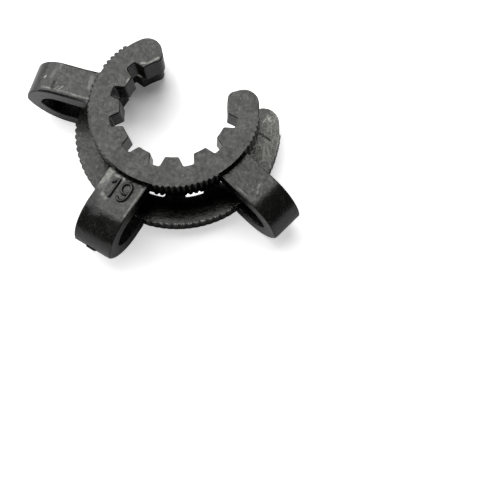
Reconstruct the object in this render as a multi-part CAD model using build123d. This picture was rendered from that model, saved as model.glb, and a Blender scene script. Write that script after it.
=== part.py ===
from build123d import *
import os
from math import asin, cos, degrees, radians, sin, sqrt

# Clip that holds a size 19 ground glass joint together, moulded in one piece. Millimetres and degrees.
# The joint's axis is Z, the mouth opens to +Y, and the middle strap points to -Y. Z = 0 is the
# large ring's underside, and the straps hang a little lower. The shapes are drawn on the level
# that the straps rest on, then moved down. Angles round the rings count from the middle strap.

# Small ring, round the narrow tube above the joint
small_grip_radius = 8.8
small_tooth_depth = 1.75
small_crest_width = 2.2
small_corner_round = 0.35
small_band = 3.25
small_thickness = 3.65
small_mouth_half_angle = 43.0
small_knurl_end_angle = 113.5

# Large ring, round the wide tube below the joint's rim
large_grip_radius = 11.5
large_tooth_depth = 1.7
large_crest_width = 2.5
large_corner_round = 0.22
large_band = 4.1
large_thickness = 2.9
large_mouth_half_angle = 44.5
large_knurl_end_angle = 117.0

# Space between the rings, where the joint's rim sits
ring_gap = 4.1

# Gripping teeth, at the same angles on both rings. The last one each side merges with the tip.
tooth_pitch_angle = 30.0
teeth_each_side = 4
tooth_root_width = 3.95

# Rounded ends of the rings, each side of the mouth
small_tip_outer_round = 2.5
small_tip_inner_round = 1.3
large_tip_outer_round = 2.7
large_tip_inner_round = 1.3

# Knurl, upright ribs round each rim
rib_pitch_angle = 3.84
rib_height = 0.28
rib_root_share = 0.9
rib_crest_share = 0.42
rib_clear_share = 0.6

# Straps, D-shaped loops that join the rings. Their reach counts from the large ring's rim.
middle_strap_width = 7.0
middle_strap_reach = 8.4
side_strap_width = 5.8
side_strap_reach = 8.7
side_strap_angle = 76.0
strap_band = 2.6
nose_height = 5.05
upper_bend_radius = 5.9
lower_bend_radius = 7.0
strap_hang = 0.75
root_round = 0.4

# Stub of the moulding gate, on the middle strap's nose
gate_width = 1.9
gate_height = 0.65
gate_proud = 0.2
gate_offset = -0.25

# Radii and levels worked out from the sizes above
small_root_radius = small_grip_radius + small_tooth_depth
small_rim_radius = small_root_radius + small_band
large_root_radius = large_grip_radius + large_tooth_depth
large_rim_radius = large_root_radius + large_band
large_bottom = strap_hang
large_top = large_bottom + large_thickness
small_bottom = large_top + ring_gap
small_top = small_bottom + small_thickness
strap_top = small_bottom + strap_band

# Each strap's angle from the middle one, its width, and how far its nose stands from the axis
middle_nose = large_rim_radius + middle_strap_reach
side_nose = large_rim_radius + side_strap_reach
straps = [(0, middle_strap_width, middle_nose)]
straps += [(side * side_strap_angle, side_strap_width, side_nose) for side in (1, -1)]

middle_strap_angle = -90.0
overlap = 1.0
tolerance = 0.01
upright = (Align.CENTER, Align.CENTER, Align.MIN)


def polar(radius, angle):
    """Point on the XY plane, with its angle counted from the middle strap."""
    turned = radians(middle_strap_angle + angle)
    return (radius * cos(turned), radius * sin(turned))


def tooth(grip_radius, root_radius, crest_width):
    """One tooth on the middle strap's side, a wedge cut off by the grip circle."""
    slope = (tooth_root_width - crest_width) / 2 / (root_radius - grip_radius)
    inner_half = crest_width / 2 - overlap * slope
    outer_half = tooth_root_width / 2
    wedge = make_face(Polyline(
        (-inner_half, -(grip_radius - overlap)), (-outer_half, -root_radius),
        (-outer_half, -root_radius - overlap), (outer_half, -root_radius - overlap),
        (outer_half, -root_radius), (inner_half, -(grip_radius - overlap)), close=True))
    return wedge - Circle(grip_radius)


def sector(radius, start, end):
    """Pie slice from the axis out to a radius, between two angles."""
    middle = (start + end) / 2
    outline = Line((0, 0), polar(radius, start))
    outline += ThreePointArc(polar(radius, start), polar(radius, middle), polar(radius, end))
    outline += Line(polar(radius, end), (0, 0))
    return make_face(outline)


def knurl(rim_radius, knurl_end_angle):
    """Ribs standing on a rim, left out where a strap meets it."""
    half_root = rib_pitch_angle * rib_root_share / 2
    half_crest = rib_pitch_angle * rib_crest_share / 2
    crest_radius = rim_radius + rib_height
    ribs = []
    count = int((knurl_end_angle - half_root) / rib_pitch_angle)
    for n in range(-count, count + 1):
        angle = n * rib_pitch_angle
        if any(abs(angle - at) < degrees(asin(width / 2 / rim_radius)) + rib_pitch_angle * rib_clear_share
               for at, width, nose in straps):
            continue
        ribs.append(make_face(Polyline(
            polar(rim_radius - overlap, angle - half_root), polar(rim_radius, angle - half_root),
            polar(crest_radius, angle - half_crest), polar(crest_radius, angle + half_crest),
            polar(rim_radius, angle + half_root), polar(rim_radius - overlap, angle + half_root),
            close=True)))
    return ribs


def near(point, radius, margin=tolerance):
    """True for a point at a given distance from the axis."""
    return abs(sqrt(point.X ** 2 + point.Y ** 2) - radius) < margin


def ring(grip_radius, crest_width, corner_round, root_radius, rim_radius, thickness, bottom,
         mouth_half_angle, knurl_end_angle, outer_round, inner_round):
    """One toothed and knurled C-ring."""
    plate = Circle(rim_radius) - Circle(root_radius)
    for n in range(-teeth_each_side, teeth_each_side + 1):
        plate += Rot(0, 0, n * tooth_pitch_angle) * tooth(grip_radius, root_radius, crest_width)
    tip_start = teeth_each_side * tooth_pitch_angle
    for side in (-1, 1):
        slice_of_tip = sector(root_radius + overlap, side * tip_start, side * 180)
        plate += slice_of_tip - Circle(grip_radius)
    mouth_end = 180 - mouth_half_angle
    plate -= sector(rim_radius * 2, mouth_end, 360 - mouth_end)

    ends = [v for v in plate.vertices() if v.Y > 0]
    plate = fillet([v for v in ends if near(v, rim_radius)], outer_round)
    ends = [v for v in plate.vertices() if v.Y > cos(radians(mouth_half_angle)) * grip_radius - tolerance]
    plate = fillet([v for v in ends if near(v, grip_radius)], inner_round)
    corners = [v for v in plate.vertices()
               if near(v, root_radius) or (near(v, grip_radius) and v.Y < grip_radius / 2)]
    plate = fillet(corners, corner_round)
    plate += knurl(rim_radius, knurl_end_angle)
    return Pos(0, 0, bottom) * extrude(plate, thickness)


def bend_centre(nose, radius, rise):
    """Distance from the axis to the centre of a bend that starts level and rises to the nose."""
    return nose - sqrt(rise * (2 * radius - rise))


def strap_outline(nose, inset, inner_end):
    """D-shaped outline in the plane of radius and height, drawn a given distance inside the band."""
    upper = Vector(bend_centre(nose, upper_bend_radius, strap_top - nose_height),
                   strap_top - upper_bend_radius)
    lower = Vector(bend_centre(nose, lower_bend_radius, nose_height), lower_bend_radius)
    upper_radius = upper_bend_radius - inset
    lower_radius = lower_bend_radius - inset

    # The two bends meet in a slight corner at the nose
    between = upper - lower
    along = (lower_radius ** 2 - upper_radius ** 2 + between.length ** 2) / 2 / between.length
    away = sqrt(lower_radius ** 2 - along ** 2)
    outward = Vector(between.Y, -between.X).normalized()
    if outward.X < 0:
        outward = -outward
    meet = lower + between.normalized() * along + outward * away

    upper_half = upper + (Vector(0, upper_radius) + (meet - upper)).normalized() * upper_radius
    lower_half = lower + (Vector(0, -lower_radius) + (meet - lower)).normalized() * lower_radius
    top = strap_top - inset
    outline = Line((inner_end, inset), (inner_end, top))
    outline += Line((inner_end, top), (upper.X, top))
    outline += ThreePointArc((upper.X, top), upper_half, meet)
    outline += ThreePointArc(meet, lower_half, (lower.X, inset))
    outline += Line((lower.X, inset), (inner_end, inset))
    return Plane.XZ * make_face(outline)


def strap(width, nose):
    """One strap, built along +X, from just inside the small ring's rim."""
    inner_end = small_rim_radius - overlap
    profile = strap_outline(nose, 0, inner_end) - strap_outline(nose, strap_band, inner_end - overlap)
    loop = extrude(profile, width / 2, both=True)
    inside_rim = Cylinder(large_rim_radius - overlap, strap_hang + large_thickness, align=upright)
    under_ring = Cylinder(large_rim_radius, strap_hang, align=upright)
    return loop - (inside_rim + under_ring)


def build_clip():
    small = ring(small_grip_radius, small_crest_width, small_corner_round, small_root_radius,
                 small_rim_radius, small_thickness, small_bottom, small_mouth_half_angle,
                 small_knurl_end_angle, small_tip_outer_round, small_tip_inner_round)
    large = ring(large_grip_radius, large_crest_width, large_corner_round, large_root_radius,
                 large_rim_radius, large_thickness, large_bottom, large_mouth_half_angle,
                 large_knurl_end_angle, large_tip_outer_round, large_tip_inner_round)
    body = small + large
    for angle, width, nose in straps:
        body += Rot(0, 0, middle_strap_angle + angle) * strap(width, nose)

    # Round the inner corners where the straps leave the rings' walls
    roots = []
    for level, rim_radius in ((strap_top, small_rim_radius), (strap_band, large_rim_radius)):
        roots += [e for e in body.edges()
                  if abs(e.center().Z - level) < tolerance and near(e.center(), rim_radius, root_round)]
    body = fillet(roots, root_round)
    gate = Pos(gate_offset, -middle_nose - gate_proud, nose_height) * Box(
        gate_width, gate_proud + overlap, gate_height, align=(Align.CENTER, Align.MIN, Align.CENTER))
    return Pos(0, 0, -strap_hang) * (body + gate)


clip = build_clip()
print("solids", len(clip.solids()), "volume", round(clip.volume, 1), "valid", clip.is_valid)

os.makedirs("parts", exist_ok=True)
export_step(clip.solids()[0], "parts/joint_clip.step")
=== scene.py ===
# %% [markdown]
# # A ground glass joint clip in black plastic
# The clip is one moulding: a small and a large C-ring on one axis, both toothed inside and knurled
# outside, and three looped straps between them. The CAD model holds every form of it. This scene
# softens its edges, adds the numeral and the marks that moulding leaves, paints highlights and
# shade, and finishes the plastic.

# %% Load the frame
from math import cos, pi, radians, sin

import bmesh
import bpy
import numpy as np
from mathutils import Matrix, Vector


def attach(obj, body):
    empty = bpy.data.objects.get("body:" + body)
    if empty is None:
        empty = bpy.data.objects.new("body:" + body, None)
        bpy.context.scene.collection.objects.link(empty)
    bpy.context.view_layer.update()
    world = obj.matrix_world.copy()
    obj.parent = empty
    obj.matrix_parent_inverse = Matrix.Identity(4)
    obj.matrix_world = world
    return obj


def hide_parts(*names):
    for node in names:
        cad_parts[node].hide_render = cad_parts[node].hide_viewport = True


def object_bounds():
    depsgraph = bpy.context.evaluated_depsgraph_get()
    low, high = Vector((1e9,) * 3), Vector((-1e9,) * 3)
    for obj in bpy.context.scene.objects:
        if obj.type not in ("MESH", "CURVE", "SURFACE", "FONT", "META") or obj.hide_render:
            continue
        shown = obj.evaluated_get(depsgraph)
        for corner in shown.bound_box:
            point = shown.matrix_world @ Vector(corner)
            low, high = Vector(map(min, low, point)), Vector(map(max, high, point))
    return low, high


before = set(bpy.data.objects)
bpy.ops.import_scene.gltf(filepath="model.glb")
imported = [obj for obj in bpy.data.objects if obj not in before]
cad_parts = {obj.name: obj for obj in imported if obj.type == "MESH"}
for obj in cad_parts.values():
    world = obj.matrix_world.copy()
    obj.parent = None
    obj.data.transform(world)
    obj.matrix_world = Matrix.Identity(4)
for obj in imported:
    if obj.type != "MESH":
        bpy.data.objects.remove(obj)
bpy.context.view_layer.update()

mm = 0.001

# %% [markdown]
# ## Camera
# The photograph looks steeply down on the clip. Its camera was recovered from the rings, teeth and
# straps: how far it stands, which way it looks, and on which pixel the small ring's centre falls.
# A camera could be aimed with a constraint, but an explicit matrix repeats those numbers exactly.

# %% Camera
image_size = 500
focal_pixels = 837.84
view_azimuth = radians(31.195)
view_elevation = radians(72.674)
view_roll = radians(-0.411)
ring_centre = Vector((0, 0, 10.65)) * mm
ring_centre_pixel = (174.02, 106.80)
ring_distance = 135.61 * mm


def camera_matrix():
    """Back points from the object to the camera. Right is level, then roll turns right and down."""
    back = Vector((sin(view_azimuth) * cos(view_elevation),
                   -cos(view_azimuth) * cos(view_elevation), sin(view_elevation)))
    level = Vector((cos(view_azimuth), sin(view_azimuth), 0))
    steep = level.cross(back)
    right = level * cos(view_roll) - steep * sin(view_roll)
    down = level * sin(view_roll) + steep * cos(view_roll)
    turn = Matrix((right, -down, back)).transposed()
    across = (ring_centre_pixel[0] - image_size / 2) / focal_pixels * ring_distance
    below = (ring_centre_pixel[1] - image_size / 2) / focal_pixels * ring_distance
    place = ring_centre - turn @ Vector((across, -below, -ring_distance))
    return Matrix.Translation(place) @ turn.to_4x4()


camera_data = bpy.data.cameras.new("camera")
camera_data.sensor_width = 36
camera_data.lens = focal_pixels / image_size * camera_data.sensor_width
camera_data.clip_start = 1 * mm
camera = bpy.data.objects.new("camera", camera_data)
bpy.context.scene.collection.objects.link(camera)
camera.matrix_world = camera_matrix()
bpy.context.scene.camera = camera
print("camera at, mm:", [round(c / mm, 1) for c in camera.location])
print("lens, mm:", round(camera_data.lens, 1))

# %% [markdown]
# ## Body
# The clip is one moulding, so it is one mesh. It could be modelled again here, but the CAD model
# already holds every form at its real size, so a copy of it is the start. A CAD mesh is loose
# triangles: the copy is merged at its points and its flat faces are joined, so that edges are real.

# %% Body
small_ring_underside = 7.0 * mm
small_ring_top = 10.65 * mm
large_ring_top = 2.9 * mm
small_rim_radius = 13.8 * mm
large_rim_radius = 17.3 * mm
large_root_radius = 13.2 * mm
small_knurl_end = radians(113.1)
large_knurl_end = radians(117.0)


def merged_copy(source, name):
    """A copy of a CAD node with its loose triangles merged and its flat faces joined."""
    same_place = 0.002 * mm
    same_plane = radians(0.4)
    mesh = bpy.data.meshes.new(name)
    work = bmesh.new()
    work.from_mesh(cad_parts[source].data)
    bmesh.ops.remove_doubles(work, verts=work.verts, dist=same_place)
    bmesh.ops.dissolve_limit(work, angle_limit=same_plane, verts=work.verts, edges=work.edges)
    work.to_mesh(mesh)
    work.free()
    return mesh


def mesh_points(mesh):
    """The mesh's points as rows of x, y and z."""
    points = np.empty(len(mesh.vertices) * 3)
    mesh.vertices.foreach_get("co", points)
    return points.reshape(-1, 3)


body_mesh = merged_copy("joint_clip", "clip_body")
print("body points", len(body_mesh.vertices), "faces", len(body_mesh.polygons))

# %% [markdown]
# ## Slanted walls
# Walls that must leave a mould slant a little, and in the photograph the bores show it. The CAD
# model keeps them straight, because its teeth carry the exact size of the grip. A sculpting brush
# could push them, but moving each point along its radius by a formula keeps every wall even.

# %% Slanted walls
bore_draft = 0.3 * mm
root_draft = 0.5 * mm
draft_fade = 1.0 * mm
rib_reach = 0.4 * mm
rib_sink_share = 0.8
root_reach = 0.3 * mm
same_level = 0.02 * mm

# Each bore's underside, and how far from the axis its draft still holds in full
drafted_bores = ((small_ring_underside, 10.6 * mm), (0.0, 13.3 * mm))


def draft_walls(mesh):
    """Slants the walls as a mould does. Both bores narrow towards their undersides: new radius =
    radius - draft * share, with a share of 1 on the teeth that fades to 0 inside the band. The
    large ring's ribs sink back into its rim there, and its wall between the teeth stands in."""
    points = mesh_points(mesh)
    radius = np.hypot(points[:, 0], points[:, 1])
    height = points[:, 2]
    move = np.zeros(len(points))
    for level, full_radius in drafted_bores:
        share = np.clip((full_radius + draft_fade - radius) / draft_fade, 0, 1)
        move -= bore_draft * share * (np.abs(height - level) < same_level)
    on_rib = (radius > large_rim_radius + same_level) & (radius < large_rim_radius + rib_reach)
    move -= rib_sink_share * (radius - large_rim_radius) * on_rib * (np.abs(height) < same_level)
    on_root = np.abs(radius - large_root_radius) < root_reach
    move -= root_draft * on_root * (np.abs(height - large_ring_top) < same_level)
    points[:, :2] *= (1 + move / radius)[:, None]
    mesh.vertices.foreach_set("co", points.ravel())
    return int((move != 0).sum())


print("points moved to slant the walls:", draft_walls(body_mesh))

# %% [markdown]
# ## Soft edges
# A mould leaves every outer edge slightly round, and that thin round catches the light. It could be
# faked in the shading, but real bevel faces also hold up close. Each convex edge gets a bevel
# weight: wide on the straps, narrow on the rings and their teeth, and very narrow on the knurl,
# where the ribs are only half a millimetre wide.

# %% Soft edges
strap_edge_round = 0.28 * mm
ring_edge_round = 0.18 * mm
rib_edge_round = 0.06 * mm
sharp_angle = radians(28)
level_margin = 0.01 * mm
rib_margin = 0.05 * mm
strap_start = 0.45 * mm


def edge_facts(mesh):
    """For each edge: its two ends, and the angle that its faces turn through, minus if hollow."""
    work = bmesh.new()
    work.from_mesh(mesh)
    turn = np.array([e.calc_face_angle_signed(0) for e in work.edges])
    work.free()
    ends = np.empty(len(mesh.edges) * 2, dtype=int)
    mesh.edges.foreach_get("vertices", ends)
    return mesh_points(mesh)[ends.reshape(-1, 2)], turn


def round_edges(mesh):
    """Bevel weights: width / widest, with one width on the ribs, one on the rings and one on the
    straps, which start a little outside the rims. Hollow and almost flat edges stay as they are."""
    ends, turn = edge_facts(mesh)
    radius = np.hypot(ends[..., 0], ends[..., 1])
    middle = ends.mean(axis=1)
    around = np.abs(np.arctan2(middle[:, 0], -middle[:, 1]))
    upper = middle[:, 2] > small_ring_underside - level_margin
    rim = np.where(upper, small_rim_radius, large_rim_radius)
    knurl_end = np.where(upper, small_knurl_end, large_knurl_end)
    width = np.full(len(turn), ring_edge_round)
    width[(radius.min(axis=1) > rim - rib_margin) & (around < knurl_end)] = rib_edge_round
    width[radius.max(axis=1) > rim + strap_start] = strap_edge_round
    width[turn < sharp_angle] = 0
    layer = mesh.attributes.new("bevel_weight_edge", "FLOAT", "EDGE")
    layer.data.foreach_set("value", width / strap_edge_round)
    return width


def add_piece(mesh, name):
    """Links a finished piece and rides it on the one body."""
    piece = bpy.data.objects.new(name, mesh)
    bpy.context.scene.collection.objects.link(piece)
    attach(piece, "root")
    return piece


edge_widths = round_edges(body_mesh)
body_mesh.shade_smooth()
body_mesh.set_sharp_from_angle(angle=sharp_angle)
body = add_piece(body_mesh, "clip_body")
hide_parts("joint_clip")
bevel = body.modifiers.new("moulded edges", "BEVEL")
bevel.limit_method = "WEIGHT"
bevel.width = strap_edge_round
bevel.segments = 3
bevel.use_clamp_overlap = False
bevel.loop_slide = False
bevel.harden_normals = True
print("body faces", len(body_mesh.polygons), "rounded edges", int((edge_widths > 0).sum()))

# %% [markdown]
# ## Marks on the plastic
# A used clip carries thin scratches, scuffed patches and the round prints of the mould's ejector
# pins. A painted image could hold them, but formulas keep them sharp at any distance. Each group
# below answers one question about a point on the surface, in mm: how deep is it in a stroke, in a
# hairline, or on a pin's print. The plastic then mixes their answers.

# %% Groups for marks


def new_group(name, inputs, outputs):
    """An empty shader group with sockets given as (name, kind, starting value)."""
    group = bpy.data.node_groups.new(name, "ShaderNodeTree")
    for label, kind, value in inputs:
        socket = group.interface.new_socket(label, in_out="INPUT", socket_type="NodeSocket" + kind)
        if value is not None:
            socket.default_value = value
    for label, kind in outputs:
        group.interface.new_socket(label, in_out="OUTPUT", socket_type="NodeSocket" + kind)
    return group, group.nodes.new("NodeGroupInput"), group.nodes.new("NodeGroupOutput")


def node(group, kind, **settings):
    """A node with its settings, and its sockets fed from links or constants in `feed`."""
    feed = settings.pop("feed", {})
    made = group.nodes.new("ShaderNode" + kind)
    for key, value in settings.items():
        setattr(made, key, value)
    for key, value in feed.items():
        if isinstance(value, bpy.types.NodeSocket):
            group.links.new(value, made.inputs[key])
        else:
            made.inputs[key].default_value = value
    return made


def math(group, operation, *values):
    """A Math node's answer to one, two or three sockets or numbers."""
    return node(group, "Math", operation=operation, feed=dict(enumerate(values))).outputs["Value"]


def chain(group, operation, values):
    """Math nodes one after another, each with the last one's answer and the next value."""
    answer = values[0]
    for value in values[1:]:
        answer = math(group, operation, answer, value)
    return answer


def product(group, *values):
    """All values multiplied."""
    return chain(group, "MULTIPLY", values)


def weighted(group, start, *terms):
    """The start plus value * share for each term."""
    answer = start
    for value, share in terms:
        answer = math(group, "MULTIPLY_ADD", value, share, answer)
    return answer


def apart(group, value, other):
    """How far two values lie apart."""
    return math(group, "ABSOLUTE", math(group, "SUBTRACT", value, other))


def root_of_squares(group, first, second):
    """The root of first squared plus second squared."""
    return math(group, "SQRT", weighted(group, 0.0, (first, first), (second, second)))


def vector_math(group, operation, *values):
    """A Vector Math node, for its Vector or Value output."""
    return node(group, "VectorMath", operation=operation, feed=dict(enumerate(values)))


def scaled(group, vector, share):
    """A vector times a number."""
    return node(group, "VectorMath", operation="SCALE",
                feed={"Vector": vector, "Scale": share}).outputs["Vector"]


def fade(group, value, full, none):
    """A soft step: 1 where the value is at `full`, falling to 0 where it reaches `none`."""
    step = node(group, "MapRange", interpolation_type="SMOOTHSTEP",
                feed={"Value": value, "From Min": full, "From Max": none, "To Min": 1.0, "To Max": 0.0})
    return step.outputs["Result"]


def clamped(group, value):
    """The value kept between 0 and 1."""
    return node(group, "Clamp", feed={"Value": value}).outputs["Result"]


print("node groups so far:", len(bpy.data.node_groups))

# %% Strokes and hairlines
hairline_stretch = (0.35, 6.0, 1.0)
hairline_contrast = 9.0


def stroke_group():
    """Mask of a straight stroke: distance to the line from Start to End, faded out at its Width."""
    group, inside, out = new_group("stroke", (("Point", "Vector", None), ("Start", "Vector", None),
                                              ("End", "Vector", None), ("Width", "Float", 0.2)),
                                   (("Mask", "Float"),))
    point, start, end = (inside.outputs[label] for label in ("Point", "Start", "End"))
    from_start = vector_math(group, "SUBTRACT", point, start).outputs["Vector"]
    run = vector_math(group, "SUBTRACT", end, start).outputs["Vector"]
    share = math(group, "DIVIDE", vector_math(group, "DOT_PRODUCT", from_start, run).outputs["Value"],
                 vector_math(group, "DOT_PRODUCT", run, run).outputs["Value"])
    foot = scaled(group, run, clamped(group, share))
    away = vector_math(group, "DISTANCE", from_start, foot).outputs["Value"]
    group.links.new(fade(group, away, 0.0, inside.outputs["Width"]), out.inputs["Mask"])
    return group


def hairline_group():
    """Mask of fine scratches along one direction: noise stretched along it, and only its crests."""
    group, inside, out = new_group("hairlines", (("Point", "Vector", None), ("Angle", "Float", 0.0),
                                                 ("Density", "Float", 0.6)), (("Mask", "Float"),))
    turned = node(group, "VectorRotate", rotation_type="Z_AXIS",
                  feed={"Vector": inside.outputs["Point"], "Angle": inside.outputs["Angle"]})
    stretched = node(group, "Mapping",
                     feed={"Vector": turned.outputs["Vector"], "Scale": hairline_stretch})
    waves = node(group, "TexNoise", feed={"Vector": stretched.outputs["Vector"], "Scale": 1.0,
                                          "Detail": 3.0, "Roughness": 0.7, "Distortion": 0.25})
    above = math(group, "SUBTRACT", waves.outputs["Fac"], inside.outputs["Density"])
    crest = math(group, "MULTIPLY", above, hairline_contrast)
    group.links.new(clamped(group, crest), out.inputs["Mask"])
    return group


stroke = stroke_group()
hairlines = hairline_group()
print("stroke nodes:", len(stroke.nodes), "hairline nodes:", len(hairlines.nodes))

# %% Pin prints
tooth_pitch = radians(30)
tooth_print_radius = 9.85
tooth_print_size = 0.62
tip_print_size = 1.3
tip_prints = ((9.58, 7.24, 0.0), (-9.3, 7.1, 0.0))
print_inside = 0.15
print_outside = 0.05
print_line_width = 0.16
print_depth_fade = (0.1, 0.3)
small_top = small_ring_top / mm


def pin_print_group():
    """Prints of the ejector pins: a disc on every tooth of the small ring and one on each tip.
    Teeth repeat every 30 degrees, so the angle is folded into one tooth before measuring."""
    group, inside, out = new_group("pin prints", (("Point", "Vector", None),),
                                   (("Disc", "Float"), ("Edge", "Float")))
    parts = node(group, "SeparateXYZ", feed={"Vector": inside.outputs["Point"]}).outputs
    radius = root_of_squares(group, parts["X"], parts["Y"])
    angle = math(group, "ARCTAN2", parts["X"], math(group, "MULTIPLY", parts["Y"], -1.0))
    folded = math(group, "WRAP", angle, tooth_pitch / 2, -tooth_pitch / 2)
    across = product(group, radius, math(group, "SINE", folded))
    outward = math(group, "SUBTRACT", product(group, radius, math(group, "COSINE", folded)),
                   tooth_print_radius)
    to_tooth = root_of_squares(group, across, outward)
    level = node(group, "CombineXYZ", feed={"X": parts["X"], "Y": parts["Y"]}).outputs["Vector"]
    to_tips = [vector_math(group, "DISTANCE", level, centre).outputs["Value"] for centre in tip_prints]
    to_tip = math(group, "SUBTRACT", math(group, "MINIMUM", *to_tips),
                  tip_print_size - tooth_print_size)
    nearest = math(group, "MINIMUM", to_tooth, to_tip)
    top_only = fade(group, apart(group, parts["Z"], small_top), *print_depth_fade)
    disc = fade(group, nearest, tooth_print_size - print_inside, tooth_print_size + print_outside)
    edge = fade(group, apart(group, nearest, tooth_print_size), 0.0, print_line_width)
    group.links.new(product(group, disc, top_only), out.inputs["Disc"])
    group.links.new(product(group, edge, top_only), out.inputs["Edge"])
    return group


pin_prints = pin_print_group()
print("mark groups:", [group.name for group in bpy.data.node_groups])

# %% [markdown]
# ## Scratches, scuffs, painted highlights and painted shade
# The larger marks come in two kinds: pale strokes, which are scratches and scuffs that scatter light
# together with painted highlights along some edges, and dark ones, which are marks that hold it back
# together with painted shade along the left strap's edges and on the middle strap. Noise could
# throw them anywhere, but a real clip is worn where a thumb or a bench meets it.
# So each stroke is listed one by one: where it starts and ends on the clip, its width, all in mm, and
# its strength.

# %% Scratches, scuffs, painted highlights and painted shade
# Pale marks: scratches, scuffs and specks, and also painted highlights along some edges
pale_marks_and_highlights = (
    ((-21.85, -5.45, 9.02), (-22.0, -5.75, 9.0), 0.26, 1.1),
    ((-18.55, -6.85, 9.6), (-18.1, -5.75, 9.6), 0.18, 0.8),
    ((-19.0, -6.9, 9.6), (-18.7, -6.1, 9.6), 0.16, 0.8),
    ((-17.9, -6.6, 9.6), (-16.2, -6.15, 9.6), 0.16, 0.5),
    ((-20.7, -2.6, 9.55), (-20.9, -5.2, 9.5), 0.7, 0.25),
    # These three lines are painted highlights along the near edge of the left strap
    ((-21.2, -7.42, 9.12), (-19.5, -7.06, 9.57), 0.30, 0.85),
    ((-19.5, -7.06, 9.57), (-15.8, -6.2, 9.6), 0.22, 0.4),
    ((-15.83, -6.2, 9.6), (-13.3, -5.55, 9.6), 0.24, 0.6),
    ((-14.9, -1.9, 9.6), (-14.3, -3.9, 9.6), 0.6, 0.4),
    ((18.55, -4.2, 9.6), (18.65, -4.8, 9.6), 0.32, 0.5),
    ((18.9, -5.3, 9.6), (18.95, -5.6, 9.6), 0.3, 0.7),
    # This line and the next are painted highlights along the near edge of the right strap and the right
    # edge of the middle strap
    ((15.5, -6.3, 9.6), (17.9, -6.85, 9.6), 0.22, 0.35),
    ((3.1, -14.3, 9.6), (3.1, -19.6, 9.6), 0.28, 0.45),
    ((-1.9, -14.35, 9.6), (-0.4, -14.4, 9.6), 0.5, 0.8),
    ((12.03, 9.66, 2.9), (12.88, 9.06, 2.9), 0.3, 1.3),
    ((11.98, 8.27, 2.9), (12.1, 9.98, 2.9), 0.2, 1.0),
    ((13.6, 8.68, 2.9), (13.29, 10.69, 2.9), 0.2, 0.9),
    ((13.13, 4.87, 2.9), (16.04, 2.85, 2.9), 0.2, 1.2),
    ((14.98, 4.64, 2.9), (16.74, 2.48, 2.9), 0.26, 1.3),
    ((15.66, 7.52, 2.9), (16.95, 3.39, 2.9), 0.24, 1.3),
    ((14.33, 4.51, 2.9), (15.2, 6.38, 2.9), 0.22, 1.2),
    ((14.49, 3.81, 2.9), (17.34, 1.78, 2.9), 0.2, 1.0),
    ((-2.9, -14.2, 9.6), (-3.1, -16.9, 9.6), 1.1, 0.75),
    ((-2.0, -18.2, 9.6), (-1.2, -18.6, 9.6), 0.6, 0.5),
    ((-3.3, -25.62, 4.2), (-1.5, -25.62, 4.2), 0.32, 1.0),
    ((0.9, -25.62, 4.3), (3.2, -25.62, 4.3), 0.32, 1.1),
    # This line and the next are painted highlights along the inner edge of the small ring's left tip
    ((-9.0, 3.95, 10.65), (-7.95, 4.5, 10.65), 0.26, 1.0),
    ((-7.95, 4.5, 10.65), (-7.0, 6.3, 10.65), 0.28, 1.2),
    ((-9.0, -0.2, 10.65), (-9.1, 0.5, 10.65), 0.3, 0.6),
    ((13.9, 5.6, 2.9), (15.1, 5.38, 2.9), 0.28, 1.2),
    ((12.32, 9.3, 2.9), (12.5, 9.6, 2.9), 0.35, 1.2),
    ((13.2, 8.0, 2.9), (13.5, 7.4, 2.9), 0.3, 0.9),
    ((14.2, 4.9, 2.9), (15.6, 2.2, 2.9), 0.30, 1.1),
    ((16.3, 3.6, 2.9), (15.2, 1.6, 2.9), 0.22, 1.0),
)
# Dark marks: grooves and streaks, and also painted shade along the left strap's edges and on the middle
# strap
dark_marks_and_shade = (
    ((-19.67, -5.85, 9.59), (-19.45, -6.95, 9.59), 0.42, 0.9),
    ((-20.75, -3.1, 9.55), (-19.7, -5.6, 9.59), 0.5, 0.35),
    ((12.6, 6.22, 2.9), (14.9, 5.98, 2.9), 0.24, 1.0),
    # A broad shallow sink on the middle strap: its dent goes into the bump, its darkness is painted
    # shade
    ((-3.9, -18.4, 9.6), (-1.7, -20.9, 9.45), 1.5, 0.85),
    # These three lines are painted shade: dark lines along the near and far edges of the left strap
    ((-13.4, -6.24, 9.52), (-19.2, -7.69, 9.52), 0.3, 1.0),
    ((-19.2, -7.69, 9.52), (-21.3, -8.2, 9.05), 0.3, 0.9),
    ((-14.75, -0.8, 9.52), (-20.55, -2.25, 9.52), 0.26, 0.9),
)


def strokes_mask(group, point, strokes):
    """The strongest of several strokes at a point, each with its start, end, width and strength."""
    strongest = 0.0
    for start, end, width, strength in strokes:
        one = node(group, "Group", node_tree=stroke,
                   feed={"Point": point, "Start": start, "End": end, "Width": width}).outputs["Mask"]
        strongest = math(group, "MAXIMUM", strongest, product(group, one, strength))
    return strongest


print("strokes:", len(pale_marks_and_highlights), "pale,", len(dark_marks_and_shade), "dark")

# %% [markdown]
# ## Places on the clip
# Where the surface lies decides how it looks. The flat tops rub on things and turn hazy. Between
# the middle strap and the right one, the large ring lies under the small one, and there painted
# shade gives it little haze and a finish that mirrors almost nothing. A line of painted shade runs
# along the rims, and painted shade dulls the outer walls too, except at the far left. Such
# masks could be painted on the mesh, but in mm from the axis each of them is a short formula.

# %% Places on the clip
strap_level = 9.6 * mm
large_top = large_ring_top / mm
flat_levels = (small_top, strap_level / mm, large_top)
flat_fade = (0.01, 0.06)
between_rings = (4.0, 6.0)
shade_zone_x = (-0.5, -3.0)
shade_zone_y = (-6.0, -4.0)
shade_zone_reach = (16.0, 17.1)
wall_tilt = (0.15, 0.5)
wall_x = (-12.0, -13.5)
wall_reach = (13.6, 13.1)
rib_pitch = radians(3.84)
rim_shade_offset = 0.18
rib_share = (0.2, 0.36)
rim_shade_width = (0.14, 0.32)


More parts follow.
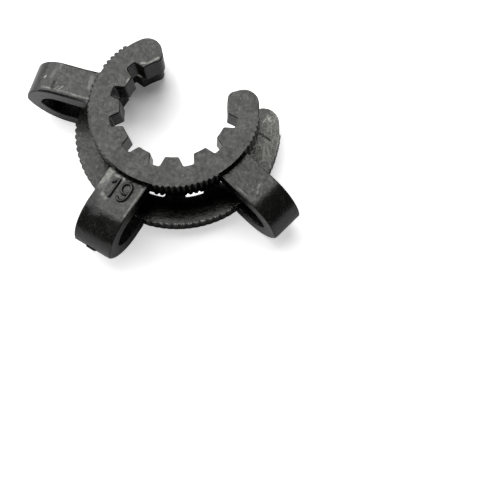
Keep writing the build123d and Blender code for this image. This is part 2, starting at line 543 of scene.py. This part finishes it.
def flat_tops(group, height):
    """Mask of the flat tops: how far a point lies from the nearest of their levels, faded out."""
    return fade(group, chain(group, "MINIMUM", [apart(group, height, level) for level in flat_levels]),
                *flat_fade)


def shade_zone_mask(group, parts):
    """Mask of painted shade on the large ring between the middle strap and the right one, under the
    small ring, from limits in X, Y, Z.
    """
    return product(group, fade(group, parts["X"], *shade_zone_x), fade(group, parts["Y"], *shade_zone_y),
                   fade(group, parts["Z"], *between_rings))


def shaded_outer_walls(group, parts, radius, facing_up):
    """Mask of painted shade on upright faces of the rims and straps: little tilt up or down, outside the
    bores, and not at the far left."""
    return product(group, fade(group, math(group, "ABSOLUTE", facing_up), *wall_tilt),
                   fade(group, parts["X"], *wall_x), fade(group, radius, *wall_reach))


def rim_shade_lines(group, parts, radius):
    """Mask of a line of painted shade along both knurled rims: how far a point's radius is from the
    line's, which is the rim's plus an offset, taken twice on a rib. Angle / pitch counts the ribs."""
    around = math(group, "ARCTAN2", parts["X"], math(group, "MULTIPLY", parts["Y"], -1.0))
    count = math(group, "FRACT", math(group, "ADD", math(group, "DIVIDE", around, rib_pitch), 0.5))
    on_rib = fade(group, apart(group, count, 0.5), *rib_share)
    on_large = fade(group, parts["Z"], *between_rings)
    line = weighted(group, small_rim_radius / mm + rim_shade_offset,
                    (on_large, (large_rim_radius - small_rim_radius) / mm), (on_rib, rim_shade_offset))
    return fade(group, apart(group, radius, line), *rim_shade_width)


print("flat levels, mm:", [round(level, 2) for level in flat_levels])

# %% [markdown]
# ## Plastic
# The plastic is nearly black. What the eye sees is mostly light mirrored softly by a satin
# surface, so roughness and small tilts carry the detail: broad blotches from handling, the fine
# spark texture of the mould, and pale specks where the surface is torn. Places with painted shade
# could have a lower specular level, but a black metal mirrors even less than black plastic, so
# there the finish moves towards black metal instead.

# %% Blotches, haze and specks
haze_start = 0.03
haze_on_bends = 0.05
haze_in_shade_zone = 0.1
cloud_noise = (0.42, 4.0, 0.62)
mottle_noise = (1.25, 2.5, 0.6)
grain_noise = (2.1, 3.0, 0.65)
spark_noise = (4.2, 1.0, 0.5)
cloud_haze = 0.09
mottle_haze = 0.12
spark_haze = 0.11
cloud_fade = (0.64, 0.46)
mottle_fade = (0.64, 0.48)
spark_fade = (0.64, 0.48)
specks_per_mm = 1.15
speck_size = (0.04, 0.16)
speck_lot = (0.34, 0.30)


def noise(group, point, per_mm, detail, roughness):
    """Soft noise: how many blotches for each mm, how many finer layers, and how strong they are."""
    return node(group, "TexNoise", feed={"Vector": point, "Scale": per_mm, "Detail": detail,
                                         "Roughness": roughness}).outputs["Fac"]


def left_over(group, mask, share):
    """What a mask leaves of 1 when it takes its share away."""
    return math(group, "SUBTRACT", 1.0, math(group, "MULTIPLY", mask, share))


def rubbed_haze(group, cloud, mottle, spark, flat):
    """Grey haze in blotches, full on the flat tops and thin on the bends."""
    haze = weighted(group, haze_start, (fade(group, cloud, *cloud_fade), cloud_haze),
                    (fade(group, mottle, *mottle_fade), mottle_haze),
                    (fade(group, spark, *spark_fade), spark_haze))
    return product(group, haze, weighted(group, haze_on_bends, (flat, 1 - haze_on_bends)))


def specks(group, point):
    """Small pale specks of dust and torn grain: some cells of a random pattern hold one each."""
    cells = node(group, "TexVoronoi",
                 feed={"Vector": point, "Scale": specks_per_mm, "Randomness": 1.0}).outputs
    lot = node(group, "SeparateXYZ", feed={"Vector": cells["Color"]}).outputs["X"]
    return product(group, fade(group, cells["Distance"], *speck_size), fade(group, lot, *speck_lot))


print("haze from", haze_start, "to", round(haze_start + cloud_haze + mottle_haze + spark_haze, 2))

# %% [markdown]
# ## Wear and painted rim highlights
# Fine scratches cross the whole clip, and the large ring's right tip is scuffed the most. Pale
# spots lie on that ring's edge, scuffs and painted highlights on its rib tops at once. Many single
# strokes could draw the scratches, but marks this fine are only seen together, so noise that is
# stretched and kept to its crests draws them all at once.

# %% Wear and painted rim highlights
scratch_angles = (0.35, 1.15, 2.3)
scratch_strength = 0.10
tip_scratch_strength = 2.2
scratch_density = 0.60
tip_density_drop = 0.04
tip_x = (13.2, 11.4)
tip_y = (-1.5, -4.0)
tip_depth = (0.1, 0.4)
stroke_breaks = (0.56, 0.38)
unbroken_share = 0.4
rim_scuff_and_highlight_radius = large_rim_radius / mm + 0.12
rim_scuff_and_highlight_width = (0.06, 0.24)
rim_scuff_and_highlight_depth = (0.12, 0.4)
rim_scuff_and_highlight_spots = (0.62, 0.45)
rim_scuff_and_highlight_strength = 1.6


def scuffed_tip(group, parts):
    """Mask of the large ring's top near its right end, which is scuffed the most."""
    return product(group, fade(group, parts["X"], *tip_x), fade(group, parts["Y"], *tip_y),
                   fade(group, apart(group, parts["Z"], large_top), *tip_depth))


def rim_scuffs_and_highlights(group, parts, radius, spark, shade_zone):
    """Mask of pale spots on the edge of the large ring's top, scuffs and painted highlights on the rib
    tops, inside the painted shade zone: the distance from the edge in radius and in height, broken up
    by the spark texture."""
    near = fade(group, apart(group, radius, rim_scuff_and_highlight_radius), *rim_scuff_and_highlight_width)
    high = fade(group, apart(group, parts["Z"], large_top), *rim_scuff_and_highlight_depth)
    return product(group, near, high, shade_zone, fade(group, spark, *rim_scuff_and_highlight_spots),
                   rim_scuff_and_highlight_strength)


def hairline_mask(group, point, on_tip):
    """The strongest of the hairlines in three directions, denser and stronger on the tip."""
    density = weighted(group, scratch_density, (on_tip, -tip_density_drop))
    lines = [node(group, "Group", node_tree=hairlines,
                  feed={"Point": point, "Angle": angle, "Density": density}).outputs["Mask"]
             for angle in scratch_angles]
    strength = weighted(group, scratch_strength, (on_tip, tip_scratch_strength))
    return product(group, chain(group, "MAXIMUM", lines), strength)


print("hairline directions:", len(scratch_angles))

# %% [markdown]
# ## Finish
# Now the masks come together: what is torn turns pale and rough, and so do the painted highlights;
# what is grooved turns dark, and so does the painted shade along edges and rims; and where shade is
# painted on walls, rims and under the small ring, the surface mirrors less. All this could sit in
# the material itself, but as a group with four outputs it can finish another piece of the same
# plastic with a base colour and wear of its own.

# %% Finish
near_black = (0.005, 0.005, 0.0047, 1)
pale_wear_and_highlight_colour = (0.45, 0.45, 0.413, 1)
dark_mark_and_shade_colour = (0.004, 0.004, 0.004, 1)
speck_strength = 0.35
tip_haze = 0.18
wear_and_highlight_share = 0.8
haze_share = 0.67
dark_mark_and_shade_share = 0.8
wall_shade_dulling = 0.6
shade_zone_dulling = 0.84
rim_shade_dulling = 0.7
metal_share = 1.15
grain_fade = (0.60, 0.42)
smoothest = 0.18
cloud_roughness = 0.10
satin_roughness = 0.26
wear_and_highlight_roughness = 0.2
print_smoothness = 0.05
dark_roughness = 0.15
spark_height = 0.014
mottle_height = 0.05
scratch_depth = 0.02
dark_depth = 0.12
print_edge_depth = 0.020
print_depth = 0.008


def mixed(group, amount, first, second):
    """A colour between two others."""
    return node(group, "Mix", data_type="RGBA",
                feed={"Factor": amount, "A": first, "B": second}).outputs["Result"]


def finish_group():
    """Colour, roughness, painted-shade dulling and normal of worn, spark-textured black plastic. Pale
    marks
    scatter light: they lift the colour and roughen the surface, and some are painted highlights. Dark
    marks are rough grooves, and some are painted shade; a line of painted shade along the rims darkens
    the colour too."""
    group, inside, out = new_group(
        "moulded plastic", (("Base", "Color", near_black), ("Worn", "Float", 1.0)),
        (("Color", "Color"), ("Roughness", "Float"), ("Painted shade", "Float"), ("Normal", "Vector")))
    here = group.nodes.new("ShaderNodeTexCoord").outputs
    point = scaled(group, here["Object"], 1 / mm)
    parts = node(group, "SeparateXYZ", feed={"Vector": point}).outputs
    radius = root_of_squares(group, parts["X"], parts["Y"])
    facing_up = node(group, "SeparateXYZ", feed={"Vector": here["Normal"]}).outputs["Z"]

    # Broad blotches, finer mottling, the satin's grain, and the mould's spark texture
    cloud = noise(group, point, *cloud_noise)
    mottle = noise(group, point, *mottle_noise)
    grain = noise(group, point, *grain_noise)
    spark = noise(group, point, *spark_noise)

    # Places
    # Painted shade: under the small ring the large ring gets less haze and a metal-like finish
    shade_zone = shade_zone_mask(group, parts)
    flat = product(group, flat_tops(group, parts["Z"]), left_over(group, shade_zone, 1 - haze_in_shade_zone))
    # Painted shade: upright faces turn towards black metal, which mirrors almost nothing
    wall = shaded_outer_walls(group, parts, radius, facing_up)
    # Painted shade: a dark, dulled line along both knurled rims
    rim_shade = product(group, rim_shade_lines(group, parts, radius), left_over(group, shade_zone, 1.0))
    # Painted shade: strongest close under the small ring, where it dulls the mirroring most
    shade_under_ring = product(group, shade_zone, fade(group, radius, *shade_zone_reach))
    on_tip = scuffed_tip(group, parts)

    # Marks, pale ones broken up by the mottling
    broken = weighted(group, unbroken_share, (fade(group, mottle, *stroke_breaks), 1 - unbroken_share))
    # Pale marks: scratches and scuffs, and also painted highlights along edges and on the large ring's
    # rib tops
    pale = math(group, "MAXIMUM", product(group, strokes_mask(group, point, pale_marks_and_highlights), broken),
                rim_scuffs_and_highlights(group, parts, radius, spark, shade_zone))
    # Dark marks: grooves, and also painted shade along strap edges and on the middle strap
    dark = strokes_mask(group, point, dark_marks_and_shade)
    scratch = hairline_mask(group, point, on_tip)
    speck = product(group, specks(group, point), flat, speck_strength)
    # This also carries the painted highlights among the pale marks
    torn = product(group, chain(group, "MAXIMUM", [pale, scratch, speck]), inside.outputs["Worn"])
    prints = node(group, "Group", node_tree=pin_prints, feed={"Point": point}).outputs

    haze = weighted(group, rubbed_haze(group, cloud, mottle, spark, flat), (on_tip, tip_haze))
    paleness = clamped(group, weighted(group, 0.0, (torn, wear_and_highlight_share), (haze, haze_share)))
    colour = mixed(group, paleness, inside.outputs["Base"], pale_wear_and_highlight_colour)
    # Darkens the dark marks and the painted shade along the rims
    darkened_marks_and_shade = product(group, math(group, "MAXIMUM", dark, rim_shade), dark_mark_and_shade_share)
    group.links.new(mixed(group, darkened_marks_and_shade, colour, dark_mark_and_shade_colour), out.inputs["Color"])

    satin = product(group, fade(group, grain, *grain_fade), flat)
    rough = weighted(group, smoothest, (cloud, cloud_roughness), (satin, satin_roughness),
                     (torn, wear_and_highlight_roughness), (prints["Disc"], -print_smoothness),
                     (dark, dark_roughness))
    group.links.new(rough, out.inputs["Roughness"])

    # How much the surface still mirrors once painted shade has dulled walls, rims and the zone under the
    # small ring
    mirrored = product(group, left_over(group, wall, wall_shade_dulling),
                       left_over(group, shade_under_ring, shade_zone_dulling),
                       left_over(group, rim_shade, rim_shade_dulling))
    # Painted shade: this dulling turns shaded places towards black metal
    dull = clamped(group, product(group, math(group, "SUBTRACT", 1.0, mirrored), metal_share))
    group.links.new(dull, out.inputs["Painted shade"])

    height = weighted(group, 0.0, (spark, spark_height), (mottle, mottle_height),
                      (scratch, -scratch_depth), (dark, -dark_depth),
                      (prints["Edge"], -print_edge_depth), (prints["Disc"], -print_depth))
    bump = node(group, "Bump", feed={"Strength": 1.0, "Distance": 1 * mm, "Height": height})
    group.links.new(bump.outputs["Normal"], out.inputs["Normal"])
    return group


finish = finish_group()
print("finish nodes:", len(finish.nodes))

# %% Plastic
plastic_ior = 1.4


def plastic(name, base, worn):
    """Satin black plastic: the shared finish feeds a shader of its own."""
    material = bpy.data.materials.new(name)
    material.use_nodes = True
    nodes, links = material.node_tree.nodes, material.node_tree.links
    shader = nodes["Principled BSDF"]
    shader.inputs["IOR"].default_value = plastic_ior
    surface = nodes.new("ShaderNodeGroup")
    surface.node_tree = finish
    surface.inputs["Base"].default_value = base
    surface.inputs["Worn"].default_value = worn
    links.new(surface.outputs["Color"], shader.inputs["Base Color"])
    links.new(surface.outputs["Roughness"], shader.inputs["Roughness"])
    # Painted shade: Metallic turns shaded places towards black metal, which mirrors almost nothing
    links.new(surface.outputs["Painted shade"], shader.inputs["Metallic"])
    links.new(surface.outputs["Normal"], shader.inputs["Normal"])
    return material


black_plastic = plastic("black plastic", near_black, 1.0)
body_mesh.materials.clear()
body_mesh.materials.append(black_plastic)
print("material:", black_plastic.name, "on", body.name)

# %% [markdown]
# ## Numeral
# The joint size stands raised on the middle strap, its top towards the ring. A text object would
# need a font, so each figure is a path that a low rounded ridge follows: the ridge is a half
# ellipse swept along the path, with round ends.

# %% Numeral
figure_width = 0.62 * mm
figure_height = 0.28 * mm
ridge_sink = 0.05 * mm
cap_rows = 5
profile_columns = 13
smallest_end = 0.02
end_fullness = 0.6


def ridge(path, width, height, base, name):
    """A rounded ridge on a level: point = path + normal * width/2 * cos(v) + up * height * sin(v),
    and both ends shrink to a point along a quarter circle. It starts a little below the level."""
    step = np.gradient(path, axis=0)
    along = step / np.linalg.norm(step, axis=1)[:, None]
    cap = np.linspace(0, pi / 2, cap_rows + 1)[:-1]
    size = np.concatenate([np.sin(cap), np.ones(len(path)), np.sin(cap)[::-1]])
    size[0] = smallest_end
    size[-1] = smallest_end
    reach = np.cos(cap) * width / 2
    head = path[0] - along[0] * reach[:, None]
    tail = path[-1] + along[-1] * reach[::-1, None]
    points = np.concatenate([head, path, tail])
    along = np.concatenate([np.repeat(along[:1], cap_rows, 0), along,
                            np.repeat(along[-1:], cap_rows, 0)])
    across = np.stack([-along[:, 1], along[:, 0]], axis=1)
    v = np.linspace(0, pi, profile_columns)
    sideways = size[:, None] * np.cos(v) * width / 2
    xy = points[:, None, :] + across[:, None, :] * sideways[..., None]
    rise = (height + ridge_sink) * np.sin(v)[None, :] * size[:, None] ** end_fullness
    z = base - ridge_sink + rise
    return grid_mesh(np.concatenate([xy, z[..., None]], axis=2), name)


def grid_mesh(grid, name):
    """A mesh from a grid of points, rows along u and columns along v, with a face in every cell
    and one underneath that closes it."""
    rows, columns = grid.shape[:2]
    index = np.arange(rows * columns).reshape(rows, columns)
    faces = np.stack([index[:-1, :-1], index[:-1, 1:], index[1:, 1:], index[1:, :-1]], axis=-1)
    underside = np.concatenate([index[:, 0], index[::-1, -1]]).tolist()
    mesh = bpy.data.meshes.new(name)
    mesh.from_pydata(grid.reshape(-1, 3).tolist(), [], faces.reshape(-1, 4).tolist() + [underside])
    work = bmesh.new()
    work.from_mesh(mesh)
    bmesh.ops.recalc_face_normals(work, faces=work.faces)
    work.to_mesh(mesh)
    work.free()
    mesh.shade_smooth()
    mesh.materials.append(black_plastic)
    return mesh


def smooth_path(points, count=60):
    """A curve through points in mm, a Catmull-Rom spline sampled evenly in its parameter."""
    points = np.asarray(points, dtype=float) * mm
    ends = np.concatenate([2 * points[:1] - points[1:2], points, 2 * points[-1:] - points[-2:-1]])
    just_inside = 1e-9
    t = np.linspace(0, len(points) - 1 - just_inside, count)
    i = t.astype(int)
    f = (t - i)[:, None]
    a, b, c, d = ends[i], ends[i + 1], ends[i + 2], ends[i + 3]
    return 0.5 * (2 * b + (c - a) * f + (2 * a - 5 * b + 4 * c - d) * f ** 2
                  + (3 * b - a - 3 * c + d) * f ** 3)


bowl_centre = (0.93, -15.62)
bowl_half_width = 0.79
bowl_half_height = 0.93
one_stem = smooth_path([(-0.85, -14.72), (-0.86, -17.95)], 12)
one_flag = smooth_path([(-0.86, -14.75), (-1.2, -15.15), (-1.6, -15.6)], 12)
nine_bowl = smooth_path([(bowl_centre[0] + bowl_half_width * sin(turn),
                          bowl_centre[1] + bowl_half_height * cos(turn))
                         for turn in np.linspace(0, 2 * pi, 17)])
nine_tail = smooth_path([(1.72, -15.6), (1.74, -16.3), (1.66, -17.0), (1.36, -17.6), (0.85, -17.84),
                         (0.35, -17.55)])
for name, path in (("numeral_one_stem", one_stem), ("numeral_one_flag", one_flag),
                   ("numeral_nine_bowl", nine_bowl), ("numeral_nine_tail", nine_tail)):
    add_piece(ridge(path, figure_width, figure_height, strap_level, name), name)
print("numeral height, mm:", round((one_stem[0, 1] - one_stem[-1, 1]) / mm, 2))

# %% [markdown]
# ## Floor and light
# A product photograph on white needs a pale floor, soft light and little else. Two suns with very
# wide angles stand in for softboxes. One is high, behind and to the left, and the flat tops mirror
# it softly. The other is low at the left and reaches the left strap's bend. The walls that face the
# camera mirror neither, and painted shade keeps most of them black. The floor keeps the shadow, and
# painted shade deepens it near the clip: to the camera the floor shows brighter the further it lies
# from the darkest corner inside the rings.

# %% Floor
floor_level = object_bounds()[0][2]
floor_size = 3.0
darkest_corner = (-10.5 * mm, 4 * mm, 0)
lift_start = 1 * mm
lift_end = 11 * mm
near_lift = 0.12
far_lift = 0.56
floor_white = (0.96, 0.96, 0.96, 1)
floor_roughness = 0.9
floor_specular = 0.1
white = (1, 1, 1, 1)
floor_mesh = bpy.data.meshes.new("floor")
reach = floor_size / 2
floor_mesh.from_pydata([(-reach, -reach, floor_level), (reach, -reach, floor_level),
                        (reach, reach, floor_level), (-reach, reach, floor_level)],
                       [], [(0, 1, 2, 3)])
floor = bpy.data.objects.new("floor", floor_mesh)
bpy.context.scene.collection.objects.link(floor)

floor_material = bpy.data.materials.new("white floor")
floor_material.use_nodes = True
floor_tree = floor_material.node_tree
floor_shader = floor_tree.nodes["Principled BSDF"]
for label, value in (("Base Color", floor_white), ("Roughness", floor_roughness),
                     ("Specular IOR Level", floor_specular), ("Emission Color", white)):
    floor_shader.inputs[label].default_value = value
# Painted shade: the camera-only glow is weakest at the darkest corner and grows with distance from it,
# so the floor looks darker near the clip than the lamps alone make it
floor_place = floor_tree.nodes.new("ShaderNodeTexCoord").outputs["Object"]
from_corner = vector_math(floor_tree, "DISTANCE", floor_place, darkest_corner).outputs["Value"]
lift = node(floor_tree, "MapRange", interpolation_type="SMOOTHSTEP",
            feed={"Value": from_corner, "From Min": lift_start, "From Max": lift_end,
                  "To Min": near_lift, "To Max": far_lift}).outputs["Result"]
seen = floor_tree.nodes.new("ShaderNodeLightPath").outputs["Is Camera Ray"]
floor_tree.links.new(math(floor_tree, "MULTIPLY", seen, lift), floor_shader.inputs["Emission Strength"])
floor_mesh.materials.append(floor_material)
print("floor level, mm:", round(floor_level / mm, 2))

# %% Light
world_grey = (0.06, 0.06, 0.06, 1)


def soft_sun(name, azimuth, elevation, strength, spread):
    """A sun lamp that shines from a direction, in degrees: azimuth counts from +X towards +Y."""
    lamp = bpy.data.lights.new(name, "SUN")
    lamp.energy = strength
    lamp.angle = radians(spread)
    holder = bpy.data.objects.new(name, lamp)
    bpy.context.scene.collection.objects.link(holder)
    a, e = radians(azimuth), radians(elevation)
    towards = Vector((cos(a) * cos(e), sin(a) * cos(e), sin(e)))
    holder.rotation_euler = towards.to_track_quat("Z", "Y").to_euler()
    print(name, "from", azimuth, "at", elevation, "degrees")


soft_sun("overhead softbox", azimuth=138, elevation=60, strength=2.15, spread=52)
soft_sun("left softbox", azimuth=190, elevation=28, strength=2.2, spread=56)

# The world lights the clip a little, and the camera sees it white
world = bpy.data.worlds.new("studio")
bpy.context.scene.world = world
world.use_nodes = True
world_tree = world.node_tree
camera_ray = world_tree.nodes.new("ShaderNodeLightPath").outputs["Is Camera Ray"]
world_tree.links.new(mixed(world_tree, camera_ray, world_grey, white),
                     world_tree.nodes["Background"].inputs["Color"])

bpy.context.scene.view_settings.view_transform = "Standard"
